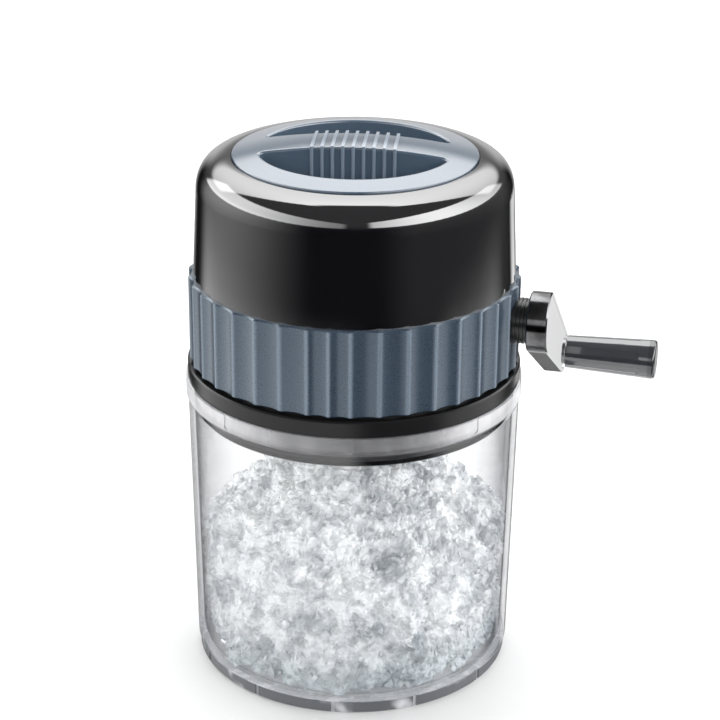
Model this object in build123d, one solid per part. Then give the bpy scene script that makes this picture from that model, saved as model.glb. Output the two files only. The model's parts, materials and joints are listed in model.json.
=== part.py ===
"""Hand-cranked ice crusher: a clear container, and a crushing head that sits on it.

The crank shaft runs along +X, the handle is on the +X side, the back is +Y and +Z is up.
The origin is the centre of the foot, on the surface that the container stands on.
"""

from build123d import *
import math
import os

# ---- Overall sizes (mm) ------------------------------------------------------------------
cup_r = 68.5            # container, outer radius at the top of its wall
cup_h = 124.9           # container, from the surface to its rim
ring_h = 36.1           # fluted grip ring
housing_h = 48.6        # black housing, from the grip ring to the lid's seam

# ---- Container ---------------------------------------------------------------------------
cup_wall = 2.5
cup_floor = 3.0
cup_draft = 2.0         # the wall is this much narrower at the foot than at its top
lip_proud = 0.8
lip_h = 6.9
lip_slope = 2.4         # height of the slope from the wall out to the lip
foot_h = 5.0
foot_inset = 0.8        # the foot stands this far inside the wall
foot_w = 3.2
foot_notches = 12
foot_notch_w = 1.6
foot_notch_d = 1.0
foot_notch_turn = -5.5  # degrees, first foot notch from the first ridge
foot_step = 2.0         # floor's underside below the wall's lower edge
foot_edge = 0.5
lip_notches = 8
lip_notch_w = 3.0
lip_notch_h = 6.2
lip_notch_d = 0.4
inner_corner = 4.0
outer_corner = 1.2
ice_gap = 2.0           # crushed ice to the container's wall
ice_floor_gap = 0.3
ice_side_h = 62.0
ice_crown_h = 90.0

# ---- Head: collar, ring and housing ------------------------------------------------------
seat_gap = 0.1          # collar to the container's rim
plug_gap = 0.8          # plug to the container's wall
plug_depth = 13.7
plug_wall = 3.0
plug_groove_up = 2.1    # seal groove above the plug's lower edge
plug_groove_h = 3.2
plug_groove_d = 1.7
seal_proud = 0.4
flange_inset = 0.9      # collar's flange inside the lip
flange_h = 6.6
plate_t = 3.0
neck_h = 1.0            # dark gap under the grip ring
neck_proud = 1.3
flange_edge = 0.6
chute_drop = 9.0        # how far the ice chute hangs into the plug
chute_wall = 2.5
ring_inset = 0.9        # ring's ridges inside the flange
ring_wall = 3.9
flute_depth = 1.2
flute_count = 36
flute_pitch = 9.6       # degrees
narrow_flutes = 2       # they fill what the wide flutes leave, at the front
first_ridge = -78.0     # degrees from +X
ridge_land = 0.6        # degrees, flat top of a ridge
ring_edge = 0.6
ring_step = 2.1         # housing inside the ring's ridges
shell = 2.4             # housing wall
shell_draft = 1.8
side_h = 36.3           # straight part of the housing's side
fit = 0.1               # clearance of pieces that are fixed to each other
post_r = 4.0
post_angles = (60, 120, 240, 300)
post_h = 40.0
post_hole_h = 13.0
frame_screw_r = 2.0
post_screw_r = 1.6
frame_head_r = 3.6
post_head_r = 3.2
screw_head_h = 2.2
screw_slack = 0.2       # screw to its through hole, on the radius

# ---- Lid ---------------------------------------------------------------------------------
lid_r = 49.2
lid_gap = 0.4
lid_flange_h = 2.9
lid_wall = 2.2
lid_crown = 6.2         # dome above the seam at the centre
lid_edge = 0.7          # and at the rim
lid_rim_w = 10.5        # rim outside the finger pockets
lid_plug_inset = 3.0
lid_plug_depth = 7.3
throat_below = 1.1      # housing's throat below the lid's plug
lid_groove_d = 0.9
lid_seal_h = 2.0
bar_w = 20.0            # bar between the finger pockets
bar_turn = 8.0          # degrees, the bar's angle from +X
pocket_depth = 16.0
pocket_corner = 2.0
pocket_edge = 1.0
rib_count = 9
rib_w = 1.3
rib_pitch = 4.1
rib_proud = 0.7
liner_t = 2.0

# ---- Crusher -----------------------------------------------------------------------------
axis_up = 20.6          # shaft axis above the ring's lower edge
rotor_r = 25.0
rotor_root_r = 13.0
rotor_teeth = 4
rotor_step = 15.0       # degrees from one disc to the next
disc_count = 6
disc_t = 2.0
disc_gap = 7.0
end_gap = 4.0           # spacer at each end of the rotor
washer_t = 1.2
tip_gap = 1.5           # rotor tips to the combs
comb_t = 2.5
comb_h = 30.0
finger_t = 3.0
finger_gap = 1.0        # comb fingers to the rotor's spacers
chamber_wall = 3.0
boss_len = 8.0
boss_wall = 1.9
frame_top = 2.6         # frame above the rotor's tips
frame_foot = 10.0       # frame's feet outside its walls
frame_foot_t = 3.0
frame_post_r = 4.5
frame_post_h = 10.0
frame_screw_out = 5.0   # frame screws outside the frame's end walls
comb_screw_x = 20.0
comb_screw_up = 10.0    # comb screws above the shaft axis
hopper_wall = 2.0
spacer_wall = 2.6
clip_t = 0.9
clip_gap = 0.4
clip_groove_d = 0.8
clip_proud = 2.0
shaft_d = 10.0
run_gap = 0.08          # running clearance, on the radius
side_gap = 0.3          # running clearance, end to end
bush_wall = 1.92
bush_ribs = 3
bush_groove_w = 0.7
bush_groove_d = 0.7
bush_r = 9.3            # bush outside the grip ring

# ---- Crank -------------------------------------------------------------------------------
arm_gap = 3.2           # container's lip to the arm
arm_t = 8.4
arm_hub_r = 12.4
arm_end_r = 9.1
arm_throw = 60.0
arm_drop = 33.0         # degrees below the horizontal, pointing to the back
arm_edge = 0.5
recess_rim = 1.5
recess_d = 0.8
drive_depth = 7.0
set_screw_r = 2.0
set_screw_sunk = 1.2
set_screw_key = 2.0     # hexagon socket, across flats
axle_r = 3.0
axle_groove_d = 0.5
axle_washer_r = 5.5
grip_gap = 0.7
grip_len = 35.3
grip_root_r = 7.0
grip_end_r = 8.3
grip_flutes = 7
grip_flute_w = 3.1
grip_flute_d = 0.45
grip_flute_end = 4.0
grip_flute_turn = 184.0  # degrees from the arm's direction
cap_t = 3.0
cap_edge = 1.4
cap_plug = 1.7
pocket_len = 5.6        # pocket of the axle's clip in the knob's end
pocket_wall = 3.0       # pocket's radius outside the axle

# ---- Levels and radii that follow --------------------------------------------------------
z_flange = cup_h + seat_gap
z_plug = z_flange - plug_depth
z_neck = z_flange + flange_h
z_plate = z_neck - plate_t
z_ring = z_neck + neck_h
z_land = z_ring + ring_h
z_seam = z_land + housing_h
z_axis = z_ring + axis_up
z_ledge = z_seam - lid_flange_h - fit
z_pocket = z_seam - pocket_depth
z_liner = z_pocket - lid_wall - fit - liner_t
z_lid_plug = z_ledge + fit - lid_plug_depth
z_throat = z_lid_plug - throat_below
z_lid_seal = z_lid_plug + 2.5
z_groove = z_plug + plug_groove_up
z_floor = foot_h - foot_step + cup_floor
z_frame = z_axis + rotor_r + frame_top
z_wall_top = cup_h - lip_h - lip_slope

lip_r = cup_r + lip_proud
plug_r = cup_r - cup_wall - plug_gap
flange_r = lip_r - flange_inset
ring_r = flange_r - ring_inset
ring_bore = ring_r - ring_wall
land_r = ring_r - ring_step
skirt_r = ring_bore - fit
skirt_in = skirt_r - shell
seat_r = lid_r + lid_gap
lid_plug_r = lid_r - lid_plug_inset
throat_r = lid_plug_r + lid_gap
pocket_r = lid_r - lid_rim_w
liner_r = pocket_r + lid_wall + 0.1

shaft_r = shaft_d / 2
bush_in = shaft_r + run_gap
bush_out = bush_in + bush_wall
hex_af = shaft_d                                    # rotor's hexagon, on the journal's flats
hex_corner = hex_af / 2 / math.cos(math.pi / 6)
drive_af = shaft_d * math.cos(math.pi / 6)          # crank's hexagon, cut from the journal
spacer_in = hex_corner + fit
spacer_out = spacer_in + spacer_wall
disc_pitch = disc_t + disc_gap
rotor_half = (disc_count * disc_t + (disc_count - 1) * disc_gap) / 2 + end_gap + washer_t
chamber_x = rotor_half + side_gap                   # half widths of the crushing chamber
chamber_y = rotor_r + tip_gap + comb_t
frame_x = chamber_x + chamber_wall
frame_y = chamber_y + chamber_wall

arm_in = lip_r + arm_gap
arm_out = arm_in + arm_t
arm_floor = arm_out - recess_d
grip_in = arm_out + grip_gap
grip_out = grip_in + grip_len
pocket_in = grip_out - pocket_len
grip_pocket_r = axle_r + pocket_wall
arm_rad = math.radians(arm_drop)
along_arm = Vector(0, math.cos(arm_rad), -math.sin(arm_rad))
across_arm = Vector(0, math.sin(arm_rad), math.cos(arm_rad))
knob_y = arm_throw * along_arm.Y
knob_z = z_axis + arm_throw * along_arm.Z


# ---- Shapes used by several pieces -------------------------------------------------------
def turned(*corners):
    """Solid turned about Z from its (radius, height) corners."""
    return revolve(Plane.XZ * make_face(Polyline(*corners, close=True)), Axis.Z)


def tube(r_in, r_out, z0, z1):
    return turned((r_in, z0), (r_out, z0), (r_out, z1), (r_in, z1))


def post(r, x, y, z0, z1):
    return Pos(x, y, z0) * Cylinder(r, z1 - z0, align=(Align.CENTER, Align.CENTER, Align.MIN))


def block(x0, x1, y0, y1, z0, z1):
    return Pos(x0, y0, z0) * Box(x1 - x0, y1 - y0, z1 - z0, align=(Align.MIN,) * 3)


def along_x(y, z):
    """Frame whose Z runs along the crank's +X and whose X runs along the arm."""
    return Plane((0, y, z), x_dir=along_arm, z_dir=(1, 0, 0)).location


def rod(r, x0, x1, y=0.0, z=None):
    start = along_x(y, z_axis if z is None else z)
    return start * post(r, 0, 0, x0, x1)


def sleeve(r_in, r_out, x0, x1, y=0.0, z=None):
    start = along_x(y, z_axis if z is None else z)
    return start * tube(r_in, r_out, x0, x1)


def hexagon(across_flats, x0, x1):
    outline = RegularPolygon(across_flats / 2, 6, major_radius=False)
    return along_x(0, z_axis) * Pos(0, 0, x0) * extrude(outline, x1 - x0)


def polar(r, degrees):
    return (r * math.cos(math.radians(degrees)), r * math.sin(math.radians(degrees)))


def rings_of(body, r):
    """Circular edges of one radius, lowest first."""
    circles = body.edges().filter_by(GeomType.CIRCLE)
    return circles.filter_by(lambda edge: abs(edge.radius - r) < 0.001).sort_by(Axis.Z)


def pan_screw(shank_r, head_r, head_h, length):
    """Cross-head screw standing on its head: the head's top is at 0, the shank points up."""
    screw = post(head_r, 0, 0, 0, head_h)
    screw = fillet(screw.edges().group_by(Axis.Z)[0], head_h * 0.4)
    screw += post(shank_r, 0, 0, head_h, head_h + length)
    slot = Box(head_r, 0.8, head_h, align=(Align.CENTER, Align.CENTER, Align.CENTER))
    return screw - slot - Rot(0, 0, 90) * slot


# ---- Container ---------------------------------------------------------------------------
def wall_r(z):
    """Container's outer radius at a height on its wall."""
    return cup_r - cup_draft * (z_wall_top - z) / (z_wall_top - foot_h)


def container():
    spigot_r = wall_r(foot_h) - foot_inset - foot_w - fit
    inside_r = wall_r(foot_h) - cup_wall
    body = turned(
        (0, z_floor - cup_floor), (spigot_r, z_floor - cup_floor), (spigot_r, foot_h),
        (wall_r(foot_h), foot_h),
        (cup_r, z_wall_top), (lip_r, z_wall_top + lip_slope), (lip_r, cup_h), (0, cup_h),
    )
    body = fillet(rings_of(body, wall_r(foot_h)), outer_corner)
    hollow = turned(
        (0, z_floor), (inside_r, z_floor),
        (cup_r - cup_wall, z_wall_top), (cup_r - cup_wall, cup_h + 1), (0, cup_h + 1),
    )
    hollow = fillet(rings_of(hollow, inside_r), inner_corner)
    body -= hollow
    notch = block(-lip_notch_w / 2, lip_notch_w / 2, -lip_notch_d, 3,
                  -lip_notch_h + lip_notch_w / 2, 1)
    notch += Pos(0, 3, -lip_notch_h + lip_notch_w / 2) * Rot(90, 0, 0) * Cylinder(
        lip_notch_w / 2, 3 + lip_notch_d, align=(Align.CENTER, Align.CENTER, Align.MIN))
    for k in range(lip_notches):
        body -= Rot(0, 0, first_ridge - 90 + k * 360 / lip_notches) * Pos(0, lip_r, cup_h) * notch
    return body


def foot_ring():
    r_out = wall_r(foot_h) - foot_inset
    ring = tube(r_out - foot_w, r_out, 0, foot_h - fit)
    ring = chamfer(ring.edges().filter_by(GeomType.CIRCLE).group_by(Axis.Z)[0], foot_edge)
    for k in range(foot_notches):
        angle = first_ridge + foot_notch_turn + k * 360 / foot_notches
        ring -= Rot(0, 0, angle) * block(r_out - foot_notch_d, r_out + 1, -foot_notch_w / 2,
                                         foot_notch_w / 2, -1, foot_h)
    return ring


def crushed_ice():
    floor_z = z_floor + ice_floor_gap
    low_r = wall_r(foot_h) - cup_wall - ice_gap
    high_r = wall_r(ice_side_h) - cup_wall - ice_gap
    rise = ice_crown_h - ice_side_h
    crown = RadiusArc((high_r, ice_side_h), (0, ice_crown_h), -(high_r**2 + rise**2) / 2 / rise)
    sides = Polyline((0, ice_crown_h), (0, floor_z), (low_r - inner_corner, floor_z),
                     (low_r, floor_z + inner_corner), (high_r, ice_side_h))
    return revolve(Plane.XZ * make_face(sides + crown), Axis.Z)


# ---- Head --------------------------------------------------------------------------------
frame_screw_at = [(sx * (frame_x + frame_screw_out), sy * (chamber_y - 5))
                  for sx in (-1, 1) for sy in (-1, 1)]
post_at = [polar(skirt_in - post_r + 0.4, angle) for angle in post_angles]
comb_screw_at = [(side * comb_screw_x, z_axis + comb_screw_up) for side in (-1, 1)]


def collar():
    groove_r, groove_top = plug_r - plug_groove_d, z_groove + plug_groove_h
    body = turned(
        (plug_r - plug_wall, z_plug), (plug_r - 0.5, z_plug), (plug_r, z_plug + 0.5),
        (plug_r, z_groove), (groove_r, z_groove), (groove_r, groove_top),
        (plug_r, groove_top), (plug_r, z_flange), (flange_r, z_flange),
        (flange_r, z_neck - flange_edge), (flange_r - flange_edge, z_neck),
        (ring_bore + neck_proud, z_neck),
        (ring_bore + neck_proud, z_ring), (ring_bore, z_ring), (ring_bore, z_neck),
        (0, z_neck), (0, z_plate), (plug_r - plug_wall, z_plate),
    )
    z_chute = z_plate - chute_drop - chute_wall
    x, y = chamber_x + chute_wall, chamber_y + chute_wall
    body += block(-x, x, -y, y, z_chute, z_plate)
    body -= block(-chamber_x, chamber_x, -chamber_y, chamber_y, z_chute - 1, z_neck + 1)
    for x, y in frame_screw_at:
        body -= post(frame_screw_r + screw_slack, x, y, z_plate - 1, z_neck + 1)
    for x, y in post_at:
        body -= post(post_screw_r + screw_slack, x, y, z_plate - 1, z_neck + 1)
    return body


def container_seal():
    low, high = z_groove + fit, z_groove + plug_groove_h - fit
    inner, crest, third = plug_r - plug_groove_d + fit, plug_r + seal_proud, (high - low) / 3
    return turned((inner, low), (plug_r, low), (crest, low + third), (crest, high - third),
                  (plug_r, high), (inner, high))


def grip_ring():
    ridges = [first_ridge + k * flute_pitch for k in range(flute_count + 1)]
    narrow = (360 - flute_count * flute_pitch) / narrow_flutes
    ridges += [ridges[-1] + (k + 1) * narrow for k in range(narrow_flutes)]
    half = ridge_land / 2
    outline = []
    for a, b in zip(ridges, ridges[1:]):
        start, end = polar(ring_r, a + half), polar(ring_r, b - half)
        outline.append(ThreePointArc(start, polar(ring_r - flute_depth, (a + b) / 2), end))
        outline.append(ThreePointArc(end, polar(ring_r, b), polar(ring_r, b + half)))
    body = Pos(0, 0, z_ring) * extrude(make_face(outline), ring_h)
    ends = [body.faces().sort_by(Axis.Z)[k].outer_wire().edges() for k in (0, -1)]
    body = chamfer(ends[0] + ends[1], ring_edge)
    body -= post(ring_bore, 0, 0, z_ring - 1, z_land + 1)
    return body - rod(bush_r + fit, skirt_in - 5, ring_r + 5)


def housing():
    side_r, side_z = land_r - shell_draft, z_land + side_h
    reach = 0.64 * (side_r - seat_r)
    rise = z_seam - side_z
    outer = Bezier((side_r, side_z), (side_r - 0.5, side_z + 0.65 * rise),
                   (seat_r + reach, z_seam), (seat_r, z_seam))
    in_r, in_top = side_r - shell, z_seam - shell
    lip_out = seat_r + shell
    inner = Bezier((lip_out, in_top), (lip_out + 0.6 * (in_r - lip_out), in_top),
                   (in_r - 0.2, side_z + 0.6 * rise), (in_r, side_z - 0.5))
    bottom = Polyline((in_r, side_z - 0.5), (skirt_in, z_land), (skirt_in, z_neck), (skirt_r, z_neck),
                      (skirt_r, z_land), (land_r, z_land), (side_r, side_z))
    throat = Polyline((seat_r, z_seam), (seat_r, z_ledge), (throat_r, z_ledge),
                      (throat_r, z_throat), (throat_r + shell, z_throat),
                      (throat_r + shell, z_ledge - shell), (lip_out, z_ledge - shell),
                      (lip_out, in_top))
    body = revolve(Plane.XZ * make_face(bottom + outer + throat + inner), Axis.Z)
    for x, y in post_at:
        body += post(post_r, x, y, z_neck, z_neck + post_h) & post(skirt_r - 0.5, 0, 0, z_neck, z_seam)
        body -= post(post_screw_r + fit, x, y, z_neck - 1, z_neck + post_hole_h)
    return body - rod(bush_r + fit, skirt_in - 5, ring_r + 5)


def hopper():
    """Funnel with flat sides, cut round where it meets the housing's throat."""
    flare = math.degrees(math.atan2(liner_r + 1.2 - chamber_x, z_liner - z_frame))
    height = z_throat - z_frame

    def funnel(x, y, r):
        sides = Pos(0, 0, z_frame) * extrude(Rectangle(2 * x, 2 * y), height, taper=-flare)
        return sides & post(r, 0, 0, z_frame, z_throat)

    outside = funnel(chamber_x + hopper_wall, chamber_y + hopper_wall, throat_r + hopper_wall)
    outside += tube(throat_r - 1, throat_r + hopper_wall, z_throat - 3, z_throat)
    return outside - funnel(chamber_x, chamber_y, throat_r)


def crusher_frame():
    body = block(-frame_x, frame_x, -frame_y, frame_y, z_neck, z_frame)
    foot_x, foot_top = frame_x + frame_foot, z_neck + frame_foot_t
    body += block(-foot_x, foot_x, -frame_y, frame_y, z_neck, foot_top) & post(
        skirt_in - 1, 0, 0, z_neck, foot_top)
    for x, y in frame_screw_at:
        body += post(frame_post_r, x, y, z_neck, z_neck + frame_post_h)
    boss_x = frame_x + boss_len
    body += rod(bush_out + fit + boss_wall, -boss_x, boss_x)
    body -= block(-chamber_x, chamber_x, -chamber_y, chamber_y, z_neck - 1, z_frame + 1)
    body -= rod(bush_out + fit, -boss_x - 1, boss_x + 1)
    for x, y in frame_screw_at:
        body -= post(frame_screw_r + fit, x, y, z_neck - 1, z_neck + frame_post_h - 1)
    for side in (-1, 1):
        for x, z in comb_screw_at:
            body -= Pos(x, side * frame_y, z) * Rot(90, 0, 0) * Cylinder(frame_screw_r + screw_slack, 20)
    return body


def comb(side, gaps):
    """Fixed comb on one wall of the chamber, with a finger in each listed rotor gap."""
    face = chamber_y - comb_t
    body = block(-chamber_x + fit, chamber_x - fit, face, chamber_y, z_axis - comb_h / 2,
                 z_axis + comb_h / 2)
    tip = spacer_out + finger_gap
    finger = make_face(Polyline((face + 1, -13), (face + 1, 2), (tip + 4, 0.5), (tip, -1.5),
                                (tip, -5), (tip + 4, -8), close=True))
    for gap in gaps:
        x = (gap - (disc_count - 2) / 2) * disc_pitch
        start = Plane((x - finger_t / 2, 0, z_axis), x_dir=(0, 1, 0), z_dir=(1, 0, 0))
        body += start * extrude(finger, finger_t)
    for x, z in comb_screw_at:
        body -= Pos(x, face, z) * Rot(90, 0, 0) * Cylinder(frame_screw_r + fit, 20)
    return body if side > 0 else Rot(0, 0, 180) * body


def screws_under_collar(places, shank_r, head_r, length):
    return [Pos(x, y, z_plate - screw_head_h) * pan_screw(shank_r, head_r, screw_head_h, length)
            for x, y in places]


def comb_screws():
    length = chamber_wall + comb_t - 0.3
    screw = pan_screw(frame_screw_r, frame_head_r, screw_head_h, length)
    back = [Pos(x, frame_y + screw_head_h, z) * Rot(90, 0, 0) * screw for x, z in comb_screw_at]
    return back + [Rot(0, 0, 180) * screw for screw in back]


def inner_bush():
    return sleeve(bush_in, bush_out, -frame_x - boss_len, -chamber_x)


def crank_bush():
    shoulder = skirt_in - 1.1
    end = arm_in - side_gap
    body = sleeve(bush_in, bush_out, chamber_x, end) + sleeve(bush_in, bush_r, shoulder, end)
    pitch = (end - ring_r) / bush_ribs
    for k in range(bush_ribs):
        start = ring_r + (k + 0.35) * pitch - bush_groove_w / 2
        body -= sleeve(bush_r - bush_groove_d, bush_r + 1, start, start + bush_groove_w)
    return body


# ---- Rotor and crank ---------------------------------------------------------------------
def drive_shaft():
    end_x = -frame_x - boss_len
    left = end_x - clip_gap - clip_t - 1.8
    body = rod(shaft_r, left, arm_in) + hexagon(hex_af, -rotor_half, rotor_half)
    body += hexagon(drive_af, arm_in - 1, arm_in + drive_depth - 0.2)
    return body - sleeve(shaft_r - clip_groove_d, shaft_r + 1, end_x - clip_gap - clip_t - fit,
                         end_x - clip_gap + fit)


def rotor_disc(index):
    corners = []
    for tooth in range(rotor_teeth):
        start = tooth * 360 / rotor_teeth + index * rotor_step
        corners += [polar(rotor_root_r, start), polar(rotor_r, start + 14),
                    polar(rotor_r - 1.5, start + 23),
                    polar(rotor_root_r + 2, start + 52)]
    x = (index - (disc_count - 1) / 2) * disc_pitch - disc_t / 2
    outline = make_face(Polyline(*corners, close=True))
    disc = along_x(0, z_axis) * Pos(0, 0, x) * extrude(outline, disc_t)
    return disc - hexagon(hex_af + 2 * fit, x - 1, x + disc_t + 1)


def rotor_spacers():
    inner = [sleeve(spacer_in, spacer_out, x + disc_t / 2, x + disc_t / 2 + disc_gap)
             for x in [(k - (disc_count - 1) / 2) * disc_pitch for k in range(disc_count - 1)]]
    edge = rotor_half - washer_t
    return inner + [sleeve(spacer_in, spacer_out, -edge, -edge + end_gap),
                    sleeve(spacer_in, spacer_out, edge - end_gap, edge)]


def shaft_washers():
    return [sleeve(spacer_in, spacer_out, -rotor_half, -rotor_half + washer_t),
            sleeve(spacer_in, spacer_out, rotor_half - washer_t, rotor_half)]


def clip(r_in, r_out, x0, y, z):
    ring = sleeve(r_in, r_out, x0, x0 + clip_t, y, z)
    gap = along_x(y, z) * block(-r_out - 1, 0, -r_in * 0.5, r_in * 0.5, x0 - 1, x0 + clip_t + 1)
    return ring - gap


def shaft_clip():
    return clip(shaft_r - clip_groove_d + fit, shaft_r + clip_proud,
                -frame_x - boss_len - clip_gap - clip_t, 0, z_axis)


def arm_outline(inset=0.0):
    hub = Circle(arm_hub_r - inset)
    end = Pos(arm_throw, 0) * Circle(arm_end_r - inset)
    return make_hull(hub.edges() + end.edges())


def crank_arm():
    start = along_x(0, z_axis) * Pos(0, 0, arm_in)
    body = extrude(arm_outline(), arm_t)
    rims = [e for k in (0, -1) for e in body.faces().sort_by(Axis.Z)[k].edges()]
    body = chamfer(rims, arm_edge)
    body -= Pos(0, 0, arm_t - recess_d) * extrude(arm_outline(recess_rim), recess_d + 1)
    body = start * body
    body -= hexagon(drive_af + 2 * fit, arm_in - 1, arm_in + drive_depth)
    body -= rod(axle_r + 0.05, arm_in + 2, arm_floor + 1, knob_y, knob_z)
    return body - set_screw_place() * post(set_screw_r + fit, 0, 0, 0, arm_hub_r + 1)


def set_screw_place():
    """Frame whose Z points from the shaft to the upper rear flank of the hub."""
    return Plane((arm_in + drive_depth / 2, 0, z_axis), x_dir=(1, 0, 0), z_dir=across_arm).location


def arm_screw():
    tip, outer = drive_af / 2 + 0.15, arm_hub_r - set_screw_sunk
    socket = RegularPolygon(set_screw_key / 2, 6, major_radius=False)
    screw = post(set_screw_r, 0, 0, tip, outer) - Pos(0, 0, outer - 2) * extrude(socket, 3)
    return set_screw_place() * screw


def handle_axle():
    groove_x = pocket_in + clip_gap
    body = rod(axle_r, arm_in + 2, grip_out - 2.1, knob_y, knob_z)
    return body - sleeve(axle_r - axle_groove_d, axle_r + 1, groove_x - fit, groove_x + clip_t + fit,
                         knob_y, knob_z)


def axle_clip():
    return clip(axle_r - axle_groove_d + fit, axle_r + clip_proud, pocket_in + clip_gap, knob_y, knob_z)


def handle_washer():
    return sleeve(axle_r + fit, axle_washer_r, arm_floor, grip_in - side_gap, knob_y, knob_z)


# ---- Knob --------------------------------------------------------------------------------
def handle_grip():
    body = turned((0, grip_in), (grip_root_r - 0.4, grip_in), (grip_root_r, grip_in + 0.4),
                  (grip_end_r, grip_out), (0, grip_out))
    slope = (grip_end_r - grip_root_r) / grip_len
    x0, x1 = grip_in - 1, grip_out - grip_flute_end
    r0, r1 = grip_root_r - slope, grip_end_r - slope * grip_flute_end
    flute = Plane.XZ * make_face(Polyline(
        (r0 - grip_flute_d, x0), (r0 + 2, x0), (r1 + 2, x1), (r1 - grip_flute_d, x1), close=True))
    flute = extrude(flute, grip_flute_w / 2, both=True)
    for k in range(grip_flutes):
        body -= Rot(0, 0, grip_flute_turn + k * 360 / grip_flutes) * flute
    body -= post(axle_r + run_gap, 0, 0, grip_in - 1, grip_out)
    body -= post(grip_pocket_r, 0, 0, pocket_in, grip_out + 1)
    return along_x(knob_y, knob_z) * body


def handle_cap():
    body = turned((0, grip_out - cap_plug), (grip_pocket_r - fit, grip_out - cap_plug),
                  (grip_pocket_r - fit, grip_out), (grip_end_r, grip_out),
                  (grip_end_r, grip_out + cap_t), (0, grip_out + cap_t))
    rim = body.edges().filter_by(GeomType.CIRCLE).sort_by(Axis.Z)[-1]
    return along_x(knob_y, knob_z) * fillet(rim, cap_edge)


# ---- Lid ---------------------------------------------------------------------------------
dome_rise = lid_crown - lid_edge
dome_r = (lid_r**2 + dome_rise**2) / 2 / dome_rise


def under_dome(drop, r, z_low):
    """Solid from z_low up to the lid's dome, lowered by drop."""
    top = z_seam + lid_crown - drop
    z_edge = top - dome_r + math.sqrt(dome_r**2 - r**2)
    arc = RadiusArc((r, z_edge), (0, top), -dome_r)
    sides = Polyline((0, top), (0, z_low), (r, z_low), (r, z_edge))
    return revolve(Plane.XZ * make_face(sides + arc), Axis.Z)


def pocket_outline(r, half_bar, corner):
    """Segment of a circle beside the bar."""
    half = Circle(r) & Pos(0, half_bar + r) * Rectangle(3 * r, 2 * r)
    return fillet(half.vertices(), corner)


def lid_cover():
    z_flange_low = z_ledge + fit
    body = under_dome(0, lid_r, z_flange_low)
    body = fillet(rings_of(body, lid_r)[-1], 0.5)
    body += tube(lid_plug_r - lid_wall, lid_plug_r, z_lid_plug, z_flange_low)
    body -= tube(lid_plug_r - lid_groove_d, lid_plug_r + 1, z_lid_seal - fit,
                 z_lid_seal + lid_seal_h + fit)
    body -= under_dome(lid_wall, lid_plug_r - lid_wall, z_flange_low - 1)
    turns = [Rot(0, 0, bar_turn), Rot(0, 0, bar_turn + 180)]
    tub = pocket_outline(pocket_r + lid_wall, bar_w / 2 - lid_wall, pocket_corner + lid_wall)
    tub = Pos(0, 0, z_pocket - lid_wall) * extrude(tub, pocket_depth + lid_crown + lid_wall)
    hole = pocket_outline(pocket_r, bar_w / 2, pocket_corner)
    hole = Pos(0, 0, z_pocket) * extrude(hole, pocket_depth + lid_crown + 1)
    for turn in turns:
        body += (turn * tub) & under_dome(lid_wall / 2, lid_r - 1, z_pocket - lid_wall)
    for turn in turns:
        body -= turn * hole
    rims = body.edges().filter_by(lambda e: e.center().Z > z_seam and math.hypot(
        e.center().X, e.center().Y) < pocket_r)
    body = fillet(rims, pocket_edge)
    reach = bar_w / 2 + rib_proud
    ribs = None
    for k in range(rib_count):
        x = (k - (rib_count - 1) / 2) * rib_pitch
        rib = block(x - rib_w / 2, x + rib_w / 2, -reach, reach, z_pocket, z_seam + lid_crown + 1)
        rib = fillet(rib.edges().filter_by(Axis.Z), 0.5)
        ribs = rib if ribs is None else ribs + rib
    core = block(-lid_r, lid_r, -reach + 1.2, reach - 1.2, z_pocket - 1, z_seam + lid_edge - 1)
    ribs = (ribs - core) & under_dome(-rib_proud, lid_r - 1, z_pocket)
    return body + Rot(0, 0, bar_turn) * ribs


def lid_liner():
    """Shallow dish that closes the lid's underside."""
    z_top = z_lid_plug + 1.0
    rim_r = lid_plug_r - lid_wall - fit
    return turned((0, z_liner), (liner_r - 1, z_liner), (liner_r, z_liner + 1),
                  (rim_r, z_top - 2.5), (rim_r, z_top), (rim_r - 1.2, z_top),
                  (rim_r - 1.2, z_top - 2.5), (liner_r - 0.1, z_liner + liner_t), (0, z_liner + liner_t))


def lid_seal():
    return tube(lid_plug_r - lid_groove_d + fit, lid_plug_r + 0.15, z_lid_seal,
                z_lid_seal + lid_seal_h)


# ---- Pieces ------------------------------------------------------------------------------
pieces = {
    "container": container(),
    "foot_ring": foot_ring(),
    "crushed_ice": crushed_ice(),
    "collar": collar(),
    "container_seal": container_seal(),
    "grip_ring": grip_ring(),
    "housing": housing(),
    "hopper": hopper(),
    "crusher_frame": crusher_frame(),
    "comb_coarse": comb(-1, range(0, disc_count - 1, 2)),
    "comb_fine": comb(1, range(disc_count - 1)),
    "comb_screws": comb_screws(),
    "frame_screws": screws_under_collar(frame_screw_at, frame_screw_r, frame_head_r, plate_t + 8),
    "housing_screws": screws_under_collar(post_at, post_screw_r, post_head_r, plate_t + 12),
    "inner_bush": inner_bush(),
    "crank_bush": crank_bush(),
    "drive_shaft": drive_shaft(),
    "rotor_spacers": rotor_spacers(),
    "shaft_washers": shaft_washers(),
    "shaft_clip": shaft_clip(),
    "crank_arm": crank_arm(),
    "arm_screw": arm_screw(),
    "handle_axle": handle_axle(),
    "handle_washer": handle_washer(),
    "axle_clip": axle_clip(),
    "handle_grip": handle_grip(),
    "handle_cap": handle_cap(),
    "lid_cover": lid_cover(),
    "lid_liner": lid_liner(),
    "lid_seal": lid_seal(),
}
for number in range(disc_count):
    pieces[f"rotor_disc_{number + 1}"] = rotor_disc(number)

os.makedirs("parts", exist_ok=True)
for name, shape in pieces.items():
    solid = Compound(children=shape) if isinstance(shape, list) else shape
    export_step(solid, f"parts/{name}.step")
    print(name, len(solid.solids()), round(solid.volume))
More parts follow.
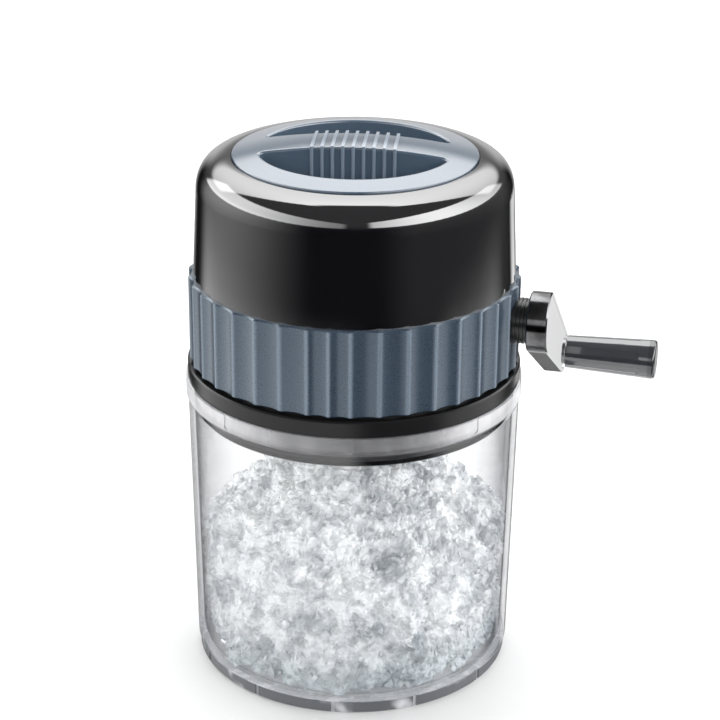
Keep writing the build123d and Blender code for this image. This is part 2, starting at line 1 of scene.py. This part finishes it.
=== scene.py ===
# %% [markdown]
# # A hand-cranked ice crusher
# The crusher stands on a pale table: a clear container full of crushed ice, and a black head with a
# grey-blue grip ring and lid on it, a polished crank arm and a smoke-grey knob. Its shapes come from the
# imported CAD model. This lesson lights it, gives each piece its finish, and builds the ice, which no CAD
# solid can show.

# %% Load the model
import json
import math

import bmesh
import bpy
from mathutils import Matrix, Vector


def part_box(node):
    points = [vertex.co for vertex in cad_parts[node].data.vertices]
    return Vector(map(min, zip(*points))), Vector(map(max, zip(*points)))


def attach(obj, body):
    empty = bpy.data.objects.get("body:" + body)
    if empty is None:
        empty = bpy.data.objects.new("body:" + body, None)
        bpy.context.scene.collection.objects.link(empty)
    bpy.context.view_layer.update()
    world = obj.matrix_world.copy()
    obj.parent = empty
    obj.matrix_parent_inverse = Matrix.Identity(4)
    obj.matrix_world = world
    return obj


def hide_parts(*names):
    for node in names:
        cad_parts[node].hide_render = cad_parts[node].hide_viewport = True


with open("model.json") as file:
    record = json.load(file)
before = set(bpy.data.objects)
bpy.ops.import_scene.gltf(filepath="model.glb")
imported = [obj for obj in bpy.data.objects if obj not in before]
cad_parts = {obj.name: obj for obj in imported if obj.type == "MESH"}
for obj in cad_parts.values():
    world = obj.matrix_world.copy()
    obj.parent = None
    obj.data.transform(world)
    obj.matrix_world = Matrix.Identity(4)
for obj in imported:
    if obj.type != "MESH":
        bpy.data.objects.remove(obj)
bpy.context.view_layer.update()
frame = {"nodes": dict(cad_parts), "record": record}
nodes = frame["nodes"]

# %% [markdown]
# ## The camera
# The object is seen from the front, 13 degrees to its right and 23 degrees above the table, through a
# long lens from just under 90 cm. The small roll is the tilt of a hand-set tripod. The camera's three
# axes are written straight into its matrix.

# %% Camera
camera_at = Vector((0.1836, -0.7841, 0.4716))
camera_aim = Vector((0.0024, 0.0006, 0.1287))
camera_roll = math.radians(0.455)
camera_turn = math.radians(13)
focal_length = 105.93  # mm


def add_camera(at, aim, roll, lens):
    forward = (aim - at).normalized()
    level = forward.cross(Vector((0, 0, 1))).normalized()
    upright = level.cross(forward)
    right = math.cos(roll) * level + math.sin(roll) * upright
    up = math.cos(roll) * upright - math.sin(roll) * level
    lens_data = bpy.data.cameras.new("camera")
    lens_data.lens, lens_data.sensor_width = lens, 36
    camera = bpy.data.objects.new("camera", lens_data)
    axes = Matrix((right, up, -forward)).transposed().to_4x4()
    camera.matrix_world = Matrix.Translation(at) @ axes
    bpy.context.scene.collection.objects.link(camera)
    bpy.context.scene.camera = camera


add_camera(camera_at, camera_aim, camera_roll, focal_length)
print("camera", round((camera_at - camera_aim).length, 3), "m from what it looks at")

# %% [markdown]
# ## A wire for sums
# Node trees get long when each sum is a node that is placed by hand. This class wraps one output socket,
# so that `wire * 2 + 1` adds the two Math nodes. It works in shader trees and in Geometry Nodes trees.
# Every other kind of node comes from its `of` method: settings first, then values and links.

# %% The wire class


class Wire:
    """An output socket that takes part in sums."""

    def __init__(self, socket):
        self.socket, self.tree = socket, socket.id_data

    @staticmethod
    def of(tree, kind, settings=None, inputs=None, output=0):
        """Adds a node: its settings, then the values or wires of its sockets, by name or number."""
        node = tree.nodes.new(kind)
        for name, value in (settings or {}).items():
            setattr(node, name, value)
        for name, value in (inputs or {}).items():
            if isinstance(value, Wire):
                tree.links.new(value.socket, node.inputs[name])
            elif isinstance(value, tuple) and len(value) < len(node.inputs[name].default_value):
                node.inputs[name].default_value = (*value, 1)  # a colour's alpha
            else:
                node.inputs[name].default_value = value
        return Wire(node.outputs[output]) if node.outputs else node

    def math(self, operation, *values):
        return Wire.of(self.tree, "ShaderNodeMath", {"operation": operation}, dict(enumerate(values)))

    def __add__(self, other):
        return self.math("ADD", self, other)

    def __mul__(self, other):
        return self.math("MULTIPLY", self, other)

    def __sub__(self, other):
        return self.math("SUBTRACT", self, other)

    def __rsub__(self, other):
        return self.math("SUBTRACT", other, self)

    def __truediv__(self, other):
        return self.math("DIVIDE", self, other)

    def __rtruediv__(self, other):
        return self.math("DIVIDE", other, self)

    __radd__, __rmul__ = __add__, __mul__

    def size(self):
        return self.math("ABSOLUTE", self)

    def least(self, other):
        return self.math("MINIMUM", self, other)

    def most(self, other):
        return self.math("MAXIMUM", self, other)

    def rise(self, low, high):
        """0 below low and 1 above high, with a smooth step between. High may be the lower number."""
        return Wire.of(self.tree, "ShaderNodeMapRange", {"interpolation_type": "SMOOTHSTEP"},
                       {"Value": self, "From Min": low, "From Max": high})

    def mix(self, first, second):
        """A colour: first where this wire is 0, second where it is 1."""
        return Wire.of(self.tree, "ShaderNodeMix", {"data_type": "RGBA"},
                       {0: self, 6: first, 7: second}, 2)

    def part(self, axis):
        """One part of a vector: 0, 1 or 2."""
        return Wire.of(self.tree, "ShaderNodeSeparateXYZ", {}, {0: self}, axis)

    def scaled(self, by):
        return Wire.of(self.tree, "ShaderNodeVectorMath", {"operation": "SCALE"}, {0: self, "Scale": by})

    def plus(self, other):
        return Wire.of(self.tree, "ShaderNodeVectorMath", {"operation": "ADD"}, {0: self, 1: other})

    def along(self, other):
        return Wire.of(self.tree, "ShaderNodeVectorMath", {"operation": "DOT_PRODUCT"},
                       {0: self, 1: other}, "Value")


def rgb(red, green, blue):
    """A screen colour, 0 to 255, as the linear numbers that shaders use."""
    return tuple((c / 255 / 12.92) if c <= 10 else ((c / 255 + 0.055) / 1.055) ** 2.4
                 for c in (red, green, blue))


# %% [markdown]
# ## The studio
# Gloss shows what stands round it, so the studio is drawn first. Two long softboxes stand left and
# right, a large one hangs behind and above, and the front stays dark, so that black plastic stays black.
# Parts of the table glow too: near the horizon, and steeply below it, where only surfaces that lean out
# over the table show it. All of it is painted on the world by direction: `azimuth` runs round the object
# from the camera, positive to the right, and `elevation` is above the horizon, both in degrees. What
# the camera sees directly is plain white, so no softbox shows in any view.

# %% World
scene = bpy.context.scene
world = bpy.data.worlds.new("studio")
world.use_nodes = True
scene.world = world
sky = world.node_tree
sky.nodes.clear()
studio_power = 0.36

towards = Wire.of(sky, "ShaderNodeTexCoord", output="Generated")
to_right = towards.along((math.cos(camera_turn), math.sin(camera_turn), 0.0))
to_front = towards.along((math.sin(camera_turn), -math.cos(camera_turn), 0.0))
azimuth = to_right.math("ARCTAN2", to_right, to_front) * (180 / math.pi)
elevation = towards.part(2).math("ARCSINE", towards.part(2)) * (180 / math.pi)


def between(wire, low, high, soft):
    return wire.rise(low - soft, low + soft) * wire.rise(high + soft, high - soft)


def bell(wire, middle, half):
    return (wire - middle).size().rise(half, 0)


def squared(wire):
    return wire * wire


def length(first, second):
    """Of a vector with these two parts."""
    squares = squared(first) + squared(second)
    return squares.math("SQRT", squares)


# The softboxes, whose top edges bend down towards their ends.
behind = azimuth.size()
right_top = 41 - squared(azimuth - 78) * 0.003
right_box = (between(azimuth, 11, 136, 3)
             * elevation.rise(9.5, 12) * (elevation - right_top).rise(1.5, -1.5)
             * (4 + 13 * bell(azimuth, 62, 85)))
left_top = 38 - squared(azimuth + 95) * 0.002
left_box = (between(azimuth, -140, -7, 3)
            * elevation.rise(7.5, 10.5) * (elevation - left_top).rise(2, -2)
            * (3 + 8.4 * bell(azimuth, -88, 85)))
back_box = behind.rise(115, 123) * between(elevation, 20, 74, 3) * (4.3 + 0.2 * (elevation - 20))
table_glow = elevation.rise(-40, 6) * (
    3.1 * between(azimuth, -138, -16, 10) * bell(azimuth, -97, 70)
    + 2.0 * behind.rise(152, 168)
    + 0.45 * between(azimuth, 30, 138, 16))

# The table steeply below the horizon, in front and behind.
near_table = 4.2 * elevation.rise(-16, -22) * (
    between(azimuth, -132, 2, 10) + between(azimuth, 64, 120, 12))
far_table = (3.2 * behind.rise(140, 155) * elevation.rise(-36, -42)
             + 3.4 * between(azimuth, 148, 161, 4) * elevation.rise(-13, -19))
overhead = 0.45 * elevation.rise(0, 20)
darkest = 0.03
glow = (right_box + left_box + back_box + table_glow * elevation.rise(20, 8)
        + near_table + far_table + overhead + darkest)

seen = Wire.of(sky, "ShaderNodeLightPath", output="Is Camera Ray")
light = Wire.of(sky, "ShaderNodeBackground", {},
                {"Color": (1.0, 1.0, 1.0), "Strength": glow * studio_power})
white = Wire.of(sky, "ShaderNodeBackground", {}, {"Color": (1.0, 1.0, 1.0), "Strength": 1.0})
shown = Wire.of(sky, "ShaderNodeMixShader", {}, {0: seen, 1: light, 2: white})
Wire.of(sky, "ShaderNodeOutputWorld", {}, {"Surface": shown})
scene.view_settings.view_transform = "Standard"
print("world", len(sky.nodes), "nodes")

# %% [markdown]
# ## The table
# A plain pale sheet. It isn't seen in gloss, where the painted dark table takes its place.

# %% Floor
floor_mesh = bpy.data.meshes.new("floor")
reach = 6.0
corners = [(x * reach, y * reach, 0) for x, y in ((-1, -1), (1, -1), (1, 1), (-1, 1))]
floor_mesh.from_pydata(corners, [], [(0, 1, 2, 3)])
floor = bpy.data.objects.new("floor", floor_mesh)
scene.collection.objects.link(floor)
floor.visible_glossy = False


def new_material(name):
    made = bpy.data.materials.new(name)
    made.use_nodes = True
    made.node_tree.nodes.clear()
    return made, made.node_tree


def finish_with(made, shader):
    Wire.of(made.node_tree, "ShaderNodeOutputMaterial", {}, {"Surface": shader})
    return made


def object_place(tree):
    """A point's place on the object, in metres."""
    return Wire.of(tree, "ShaderNodeTexCoord", output="Object")


def noise(tree, scale, detail=3.0, rough=0.5, stretch=(1.0, 1.0, 1.0)):
    """Noise on the object, with about `scale` blobs to the metre."""
    place = Wire.of(tree, "ShaderNodeMapping", {}, {"Vector": object_place(tree), "Scale": stretch})
    return Wire.of(tree, "ShaderNodeTexNoise", {},
                   {"Vector": place, "Scale": scale, "Detail": detail, "Roughness": rough}, "Fac")


def bump(tree, height, metres, strength=1.0):
    return Wire.of(tree, "ShaderNodeBump", {},
                   {"Height": height, "Distance": metres, "Strength": strength})


def surface(tree, **sockets):
    """A Principled shader. Socket names have _ for a space."""
    return Wire.of(tree, "ShaderNodeBsdfPrincipled", {},
                   {name.replace("_", " "): value for name, value in sockets.items()})


made, tree = new_material("pale_table")
floor_mesh.materials.append(finish_with(made, surface(tree, Base_Color=(0.7, 0.7, 0.7), Roughness=0.9)))

# %% [markdown]
# ## Moulded plastics
# Moulded parts are never quite even: the steel of the mould leaves a faint grain. One function makes them
# all, from a colour, a roughness and the size of the grain. Two of them also get a painted highlight, a
# lighter colour mixed in where light catches their edges: the ring on its ridges, and the lid on the grip
# ribs of its bar.

# %% Plastics
materials = {}
bar_turn = math.radians(8)
rib_pitch = 0.0041
# Painted highlights: the ring's ridges and the lid's grip ribs are mixed towards this lighter colour,
# where light catches them.
ridge_highlight_share, rib_highlight_share = 0.32, 0.5  # share of the painted highlight colour
highlight_colour = rgb(150, 163, 177)


def from_axis(tree):
    """A point's distance from the Z axis."""
    place = object_place(tree)
    return length(place.part(0), place.part(1))


def ridges(tree):
    """The share of painted highlight on the ridges of the grip ring, whose hollows lie 1.2 mm deeper."""
    return from_axis(tree).rise(0.0670, 0.0676) * ridge_highlight_share


def ribs(tree):
    """The share of painted highlight on the nine grip ribs across the lid's bar. They lie in a row along
    the bar, one in its middle.
    """
    place = object_place(tree)
    cosine, sine = math.cos(bar_turn), math.sin(bar_turn)
    along = place.part(0) * cosine + place.part(1) * sine
    across = place.part(1) * cosine - place.part(0) * sine
    step = along / rib_pitch + 20.5  # whole pitches keep it above 0, and a half centres the rib
    off_rib = (step.math("FRACT", step) - 0.5).size() * rib_pitch
    on_rib = off_rib.rise(0.0009, 0.0006)
    in_row = along.size().rise(0.0176, 0.0172) * across.size().rise(0.0125, 0.0115)
    return on_rib * in_row * rib_highlight_share


def plastic(name, colour, rough, grain=0.00001, grain_scale=2600.0, shade=0.08, lighter=None, **more):
    """`lighter` is a function that gives the share of the painted highlight colour. `grain` is in metres.
    """
    made, tree = new_material(name)
    cloud = noise(tree, 45, 4.0, 0.6)
    fine = noise(tree, grain_scale, 2.0)
    dull = tuple(c * (1 - shade) for c in colour)
    pale = tuple(min(1.0, c * (1 + shade)) for c in colour)
    tint = cloud.rise(0.3, 0.7).mix(dull, pale)
    if lighter:
        # A painted highlight is mixed into the colour, in the share that `lighter` gives.
        tint = lighter(tree).mix(tint, highlight_colour)
    shader = surface(tree, Base_Color=tint,
                     Roughness=rough + (cloud - 0.5) * rough * 0.2 + (fine - 0.5) * rough * 0.3,
                     Normal=bump(tree, fine, grain), **more)
    materials[name] = finish_with(made, shader)


plastic("black_gloss", rgb(9, 9, 12), 0.05, 0.0000004, 900.0,
        Coat_Weight=1.0, Coat_Roughness=0.025, Coat_IOR=1.9)
plastic("black_satin", rgb(20, 20, 21), 0.24, 0.000004, 2200.0, IOR=1.36)
plastic("blue_grey_satin", rgb(46, 57, 70), 0.28, 0.000002, 2600.0, 0.03, ridges,
        IOR=1.8, Specular_Tint=(0.76, 0.9, 1.0))
plastic("blue_grey_gloss", rgb(74, 88, 103), 0.2, 0.000002, 1800.0, 0.04, ribs,
        Coat_Weight=1.0, Coat_Roughness=0.05, Coat_IOR=1.55)
plastic("inner_grey", rgb(96, 104, 112), 0.45)
plastic("inner_black", rgb(30, 30, 32), 0.45)
plastic("liner_grey", rgb(84, 96, 108), 0.4)
plastic("white_acetal", rgb(214, 214, 208), 0.4)
plastic("bush_black", rgb(22, 22, 24), 0.3, 0.000004)
plastic("cap_black", rgb(46, 47, 52), 0.14, 0.000001, 900.0, Coat_Weight=0.6, Coat_Roughness=0.05)
plastic("seal_rubber", rgb(48, 48, 50), 0.7, 0.00001, 1500.0)
plastic("smoke_plastic", rgb(54, 55, 60), 0.12, 0.000001, 900.0,
        Coat_Weight=1.0, Coat_Roughness=0.04, Coat_IOR=1.6)
print("plastics", sorted(materials))

# %% [markdown]
# ## Metals
# The crank arm is polished and chrome-plated, so it mirrors the softboxes, and the rim of its hub is
# darker. Blades and shafts are brushed steel: noise stretched along one axis gives the fine lines.

# %% Metals
shaft_z = 0.1532  # m, height of the crank's axis
arm_drop = math.radians(33)
dark_rim = (0.05, 0.05, 0.052)


def metal(name, colour, rough, lines=(1.0, 1.0, 1.0), depth=0.000002, hub=None):
    """`hub` is the inner and outer radius of the dark rim round the shaft, in metres."""
    made, tree = new_material(name)
    brushed = noise(tree, 1400, 3.0, 0.6, lines)
    smear = noise(tree, 60, 3.0)
    tint = smear.mix(tuple(c * 0.92 for c in colour), colour)
    if hub:
        inner, outer = hub
        place = object_place(tree)
        y, z = place.part(1), place.part(2) - shaft_z
        towards_knob = y * math.cos(arm_drop) - z * math.sin(arm_drop)
        rim = between(length(y, z), inner, outer, 0.0001) * towards_knob.rise(0.004, 0.001)
        tint = (rim * (0.75 + 0.25 * smear.rise(0.6, 0.4))).mix(tint, dark_rim)
    shader = surface(tree, Metallic=1.0, Base_Color=tint,
                     Roughness=rough * 0.7 + brushed * rough * 0.4 + smear * rough * 0.2,
                     Normal=bump(tree, brushed, depth))
    materials[name] = finish_with(made, shader)


metal("arm_chrome", (0.5, 0.5, 0.515), 0.13, depth=0.0000004, hub=(0.0118, 0.0128))
metal("axle_steel", (0.22, 0.22, 0.23), 0.3, (0.08, 1.0, 1.0))
metal("blade_steel", (0.6, 0.6, 0.6), 0.28, (1.0, 0.06, 1.0))
metal("screw_steel", (0.6, 0.6, 0.6), 0.25)
metal("spring_steel", (0.45, 0.44, 0.43), 0.3)
print("metals", len(materials))

# %% [markdown]
# ## The clear container
# Clear plastic lets most light straight through and mirrors the rest, more towards its edges. A
# Transparent shader, darker where the wall is seen at a slant, is mixed with a Glossy one by how far
# the surface faces away. That does it without the noise of real refraction. The band round the lip is
# frosted by streaks from the mould. Light travels along inside the wall and comes out at the foot,
# which a small constant glow stands for.

# %% Clear plastic
made, tree = new_material("clear_plastic")
height = object_place(tree).part(2) * 1000  # mm
foot_glow = (0.34, 0.35, 0.36)
waves = noise(tree, 60, 2.0)
relief = bump(tree, waves, 0.0006, 0.25)
facing = Wire.of(tree, "ShaderNodeLayerWeight", {}, {"Blend": 0.5, "Normal": relief}, "Facing")
mirror = 0.035 + 0.5 * facing.math("POWER", facing, 5.0)
straight = Wire.of(tree, "ShaderNodeBsdfTransparent", {}, {"Color": (0.935, 0.936, 0.939)})
slanted = Wire.of(tree, "ShaderNodeBsdfTransparent", {}, {"Color": (0.77, 0.772, 0.78)})
clear = Wire.of(tree, "ShaderNodeMixShader", {}, {0: facing.rise(0.3, 0.8), 1: straight, 2: slanted})
gloss = Wire.of(tree, "ShaderNodeBsdfGlossy", {},
                {"Color": (1.0, 1.0, 1.0), "Roughness": 0.02, "Normal": relief})
wall = Wire.of(tree, "ShaderNodeMixShader", {}, {0: mirror, 1: clear, 2: gloss})
streak = noise(tree, 120, 4.0, 0.6, (1.0, 1.0, 0.25))
lip = height.rise(117.2, 118.8) * height.rise(125.2, 124.4)
foot = height.rise(6.6, 5.6)
frosted = surface(tree, Base_Color=rgb(212, 212, 215), Roughness=0.3, Emission_Strength=1.0,
                  Emission_Color=foot.mix((0.0, 0.0, 0.0), foot_glow))
lip_share = lip * (0.06 + 0.1 * streak.rise(0.35, 0.7) + 0.5 * facing.rise(0.06, 0.45))
foot_share = foot * (0.22 + 0.3 * streak.rise(0.4, 0.65))
shader = Wire.of(tree, "ShaderNodeMixShader", {}, {0: lip_share.most(foot_share), 1: wall, 2: frosted})
materials["clear_plastic"] = finish_with(made, shader)

made, tree = new_material("foot_rubber")
# Painted shade: dark patches on the foot's outer face stand for the shade and dark refractions it shows at
# the front.
patch = noise(tree, 35, 3.0)
outer = from_axis(tree).rise(0.0648, 0.0654)
pale, painted_foot_shade = rgb(196, 198, 201), rgb(88, 90, 94)
shader = surface(tree, Base_Color=(outer * patch.rise(0.62, 0.52)).mix(pale, painted_foot_shade), Roughness=0.5,
                 Normal=bump(tree, noise(tree, 1500), 0.00001))
materials["foot_rubber"] = finish_with(made, shader)

# %% [markdown]
# ## Crushed ice
# Each chip is part clear and part milky with tiny bubbles, and wet. A noise picks where it is clear,
# where light goes through with ice's low refraction, and where it scatters like snow. Light that
# wanders inside the heap is a small constant glow, a little stronger near the top.

# %% Ice
made, tree = new_material("ice")
height = object_place(tree).part(2) * 1000  # mm
painted_low_shade, high_up = height.rise(30, 4), height.rise(20, 80)
milky = noise(tree, 170, 4.0, 0.6)
rough_skin = bump(tree, noise(tree, 420, 4.0, 0.65), 0.0008, 0.5)
clouds = noise(tree, 75, 5.0, 0.6)
# Painted shade: the snow colour turns darker and bluer towards the bottom of the heap.
white = painted_low_shade.mix(rgb(250, 252, 253), rgb(196, 206, 211))
snow = surface(tree, Base_Color=clouds.rise(0.36, 0.56).mix(rgb(188, 194, 198), white), Roughness=0.3,
               Coat_Weight=0.6, Coat_Roughness=0.06, Coat_IOR=1.33, Normal=rough_skin,
               Emission_Color=high_up.mix((0.12, 0.14, 0.15), (0.97, 0.98, 1.0)),
               Emission_Strength=0.11)
glassy = surface(tree, Base_Color=(0.9, 0.95, 0.97), Roughness=0.06, IOR=1.31, Transmission_Weight=1.0,
                 Normal=rough_skin)
snow_share = 0.66 + 0.34 * milky.rise(0.38, 0.55)
shader = Wire.of(tree, "ShaderNodeMixShader", {}, {0: snow_share, 1: glassy, 2: snow})
materials["ice"] = finish_with(made, shader)

# %% [markdown]
# ## Give the CAD pieces their finishes
# The record names a material slot for each piece of the CAD model.

# %% Material slots
for part in frame["record"]["subparts"]:
    slots = nodes[part["node"]].data.materials
    slots.clear()
    slots.append(materials[part["material_slot"]])

# %% [markdown]
# ## The heap of ice
# The heap is lathed first as a smooth form, a little inside its outline, and roughened into lumps. Then
# two Geometry Nodes passes scatter chips and crumbs over it. Every chip is the convex hull of a few
# random points, which gives the flat faces and sharp edges of broken ice, and chips that would poke
# through the container are pressed flat against its wall, as they are in the real one.

# %% Heap outline
heap_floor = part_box("crushed_ice")[0].z
wall_foot, wall_draft = 0.0637, 0.019  # the wall's inside radius at height 0, and how it grows with it
core_inset = 0.002
rim_r, heap_high, heap_drop = 0.0615, 0.0885, 0.0265


def lathe(name, outline, turns):
    """A closed skin round Z through (radius, height) pairs, whose first and last lie on the axis."""
    mesh = bmesh.new()
    rows = []
    for r, z in outline:
        angles = [2 * math.pi * i / turns for i in range(1 if r == 0 else turns)]
        rows.append([mesh.verts.new((r * math.cos(a), r * math.sin(a), z)) for a in angles])
    for low, high in zip(rows, rows[1:]):
        for i in range(turns):
            face = [low[i % len(low)], low[(i + 1) % len(low)],
                    high[(i + 1) % len(high)], high[i % len(high)]]
            mesh.faces.new(list(dict.fromkeys(face)))
    bmesh.ops.recalc_face_normals(mesh, faces=mesh.faces[:])
    data = bpy.data.meshes.new(name)
    mesh.to_mesh(data)
    mesh.free()
    made = bpy.data.objects.new(name, data)
    scene.collection.objects.link(made)
    return made


def heap_top(r):
    """Height of the heap at a radius, in metres: a low cone with a rounded top."""
    return heap_high - heap_drop * (r / rim_r) ** 1.35


side_r = 0.0625 - core_inset
side_lean = 0.0008
core_floor = heap_floor + 0.001
side_h = heap_top(side_r) - heap_floor - 0.004
floor_rows, side_rows, top_rows, turns = 14, 90, 80, 500
outline = [(side_r * i / floor_rows, core_floor) for i in range(floor_rows + 1)]
outline += [(side_r + side_lean * i / side_rows, core_floor + side_h * i / side_rows)
            for i in range(1, side_rows + 1)]
outline += [(side_r * i / top_rows, heap_top(side_r * i / top_rows) - core_inset)
            for i in range(top_rows, -1, -1)]
heap = lathe("ice_core", outline, turns)
print("heap", len(heap.data.polygons), "faces")

# %% Lumps and chips


def group(name, *inputs):
    """An empty Geometry Nodes tree with a geometry in and out, and named inputs (name, kind, value)."""
    tree = bpy.data.node_groups.new(name, "GeometryNodeTree")
    tree.interface.new_socket("Geometry", in_out="INPUT", socket_type="NodeSocketGeometry")
    tree.interface.new_socket("Geometry", in_out="OUTPUT", socket_type="NodeSocketGeometry")
    for title, kind, value in inputs:
        socket = tree.interface.new_socket(title, in_out="INPUT", socket_type="NodeSocket" + kind)
        if value is not None:
            socket.default_value = value
    start = tree.nodes.new("NodeGroupInput")
    return tree, {socket.name: Wire(socket) for socket in start.outputs if socket.name}


def inside_wall(tree, geometry, settings):
    """Presses points that are outside the container's wall or under its floor back inside."""
    place = Wire.of(tree, "GeometryNodeInputPosition")
    x, y, z = place.part(0), place.part(1), place.part(2)
    limit = settings["Wall at the foot"] + z * settings["Wall draft"]
    shrink = (limit / length(x, y).most(0.0001)).least(1.0)
    pressed = Wire.of(tree, "ShaderNodeCombineXYZ", {},
                      {0: x * shrink, 1: y * shrink, 2: z.most(settings["Floor"])})
    return Wire.of(tree, "GeometryNodeSetPosition", {}, {"Geometry": geometry, "Position": pressed})


def end(tree, geometry, material):
    real = Wire.of(tree, "GeometryNodeRealizeInstances", {}, {"Geometry": geometry})
    painted = Wire.of(tree, "GeometryNodeSetMaterial", {}, {"Geometry": real, "Material": material})
    Wire.of(tree, "NodeGroupOutput", {}, {"Geometry": painted})


full_turn = 6.283
wall_inputs = (("Wall at the foot", "Float", wall_foot), ("Wall draft", "Float", wall_draft),
               ("Floor", "Float", heap_floor + 0.0002), ("Seed", "Int", 1), ("Material", "Material", None))


def lumpy_tree():
    """Roughens a skin: wide lumps, and on them the rounded tops of packed chunks."""
    tree, given = group(
        "lumpy_ice", ("Lump height", "Float", 0.004), ("Lump width", "Float", 0.014),
        ("Chunk height", "Float", 0.003), ("Chunk width", "Float", 0.007), *wall_inputs)
    outwards = Wire.of(tree, "GeometryNodeInputNormal")
    lumps = Wire.of(tree, "ShaderNodeTexNoise", {},
                    {"Scale": 1 / given["Lump width"], "Detail": 6.0, "Roughness": 0.6}, "Fac")
    chunk_scale = 1 / given["Chunk width"]
    warp = Wire.of(tree, "ShaderNodeTexNoise", {}, {"Scale": chunk_scale, "Detail": 3.0}, "Color")
    place = Wire.of(tree, "GeometryNodeInputPosition").plus(warp.scaled(given["Chunk width"] * 0.8))
    chunks = Wire.of(tree, "ShaderNodeTexVoronoi", {},
                     {"Vector": place, "Scale": chunk_scale}, "Distance")
    height = (lumps - 0.5) * given["Lump height"] * 2 + (0.45 - chunks) * given["Chunk height"]
    moved = Wire.of(tree, "GeometryNodeSetPosition", {},
                    {"Geometry": given["Geometry"], "Offset": outwards.scaled(height)})
    end(tree, inside_wall(tree, moved, given), given["Material"])
    return tree


def chips_tree(shapes=6, corners=16):
    """Scatters chips over a skin. Each is one of a few hulls, turned and stretched by chance."""
    tree, given = group(
        "ice_chips", ("Chip size", "Float", 0.008), ("Spacing", "Float", 0.004), *wall_inputs)
    spots = Wire.of(tree, "GeometryNodeDistributePointsOnFaces", {"distribute_method": "POISSON"}, {
        "Mesh": given["Geometry"], "Distance Min": given["Spacing"], "Density Max": 400000.0,
        "Seed": given["Seed"]})
    joined = tree.nodes.new("GeometryNodeGeometryToInstance")
    for shape in range(shapes):
        corner = Wire.of(tree, "FunctionNodeRandomValue", {"data_type": "FLOAT_VECTOR"}, {
            0: (-0.5, -0.5, -0.5), 1: (0.5, 0.5, 0.5), "Seed": 11 + shape}, 0)
        cloud = Wire.of(tree, "GeometryNodePoints", {},
                        {"Count": corners, "Position": corner, "Radius": 0.1})
        hull = Wire.of(tree, "GeometryNodeConvexHull", {}, {"Geometry": cloud})
        tree.links.new(hull.socket, joined.inputs[0])
    turn = Wire.of(tree, "FunctionNodeRandomValue", {"data_type": "FLOAT_VECTOR"}, {
        0: (0.0, 0.0, 0.0), 1: (full_turn,) * 3, "Seed": given["Seed"]}, 0)
    grow = Wire.of(tree, "FunctionNodeRandomValue", {"data_type": "FLOAT_VECTOR"}, {
        0: (0.55, 0.45, 0.35), 1: (1.5, 1.2, 0.9), "Seed": given["Seed"]}, 0)
    placed = Wire.of(tree, "GeometryNodeInstanceOnPoints", {}, {
        "Points": spots, "Instance": Wire(joined.outputs[0]), "Pick Instance": True, "Rotation": turn,
        "Scale": grow.scaled(given["Chip size"])})
    real = Wire.of(tree, "GeometryNodeRealizeInstances", {}, {"Geometry": placed})
    end(tree, inside_wall(tree, real, given), given["Material"])
    return tree


def grown(source, tree, name, **values):
    """A new plain mesh object: source passed through a Geometry Nodes tree with these named inputs."""
    helper = source.copy()
    scene.collection.objects.link(helper)
    modifier = helper.modifiers.new("grow", "NODES")
    modifier.node_group = tree
    sockets = {s.name: s.identifier for s in tree.interface.items_tree if s.in_out == "INPUT"}
    for title, value in values.items():
        modifier[sockets[title.replace("_", " ")]] = value
    result = helper.evaluated_get(bpy.context.evaluated_depsgraph_get())
    mesh = bpy.data.meshes.new_from_object(result)
    bpy.data.objects.remove(helper)
    mesh.name = name
    made = bpy.data.objects.new(name, mesh)
    scene.collection.objects.link(made)
    print(name, len(mesh.polygons), "faces")
    return made


core = grown(heap, lumpy_tree(), "ice_lumps", Lump_height=0.009, Lump_width=0.016,
             Chunk_height=0.004, Chunk_width=0.0075, Material=materials["ice"])
chips_of = chips_tree()
chips = grown(core, chips_of, "ice_chips", Chip_size=0.0052, Spacing=0.0078, Seed=3,
              Material=materials["ice"])
crumbs = grown(core, chips_of, "ice_crumbs", Chip_size=0.0023, Spacing=0.0027, Seed=8,
               Material=materials["ice"])
bpy.data.objects.remove(heap)
for piece in (core, chips, crumbs):
    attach(piece, "base")
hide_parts("crushed_ice")

# %% [markdown]
# ## Close
# The handle is left out of reflections, so that it doesn't show as a bright fleck in the housing.

# %% Leave the handle out of reflections
for name in ("crank_arm", "handle_axle", "handle_washer", "handle_grip", "handle_cap"):
    nodes[name].visible_glossy = False
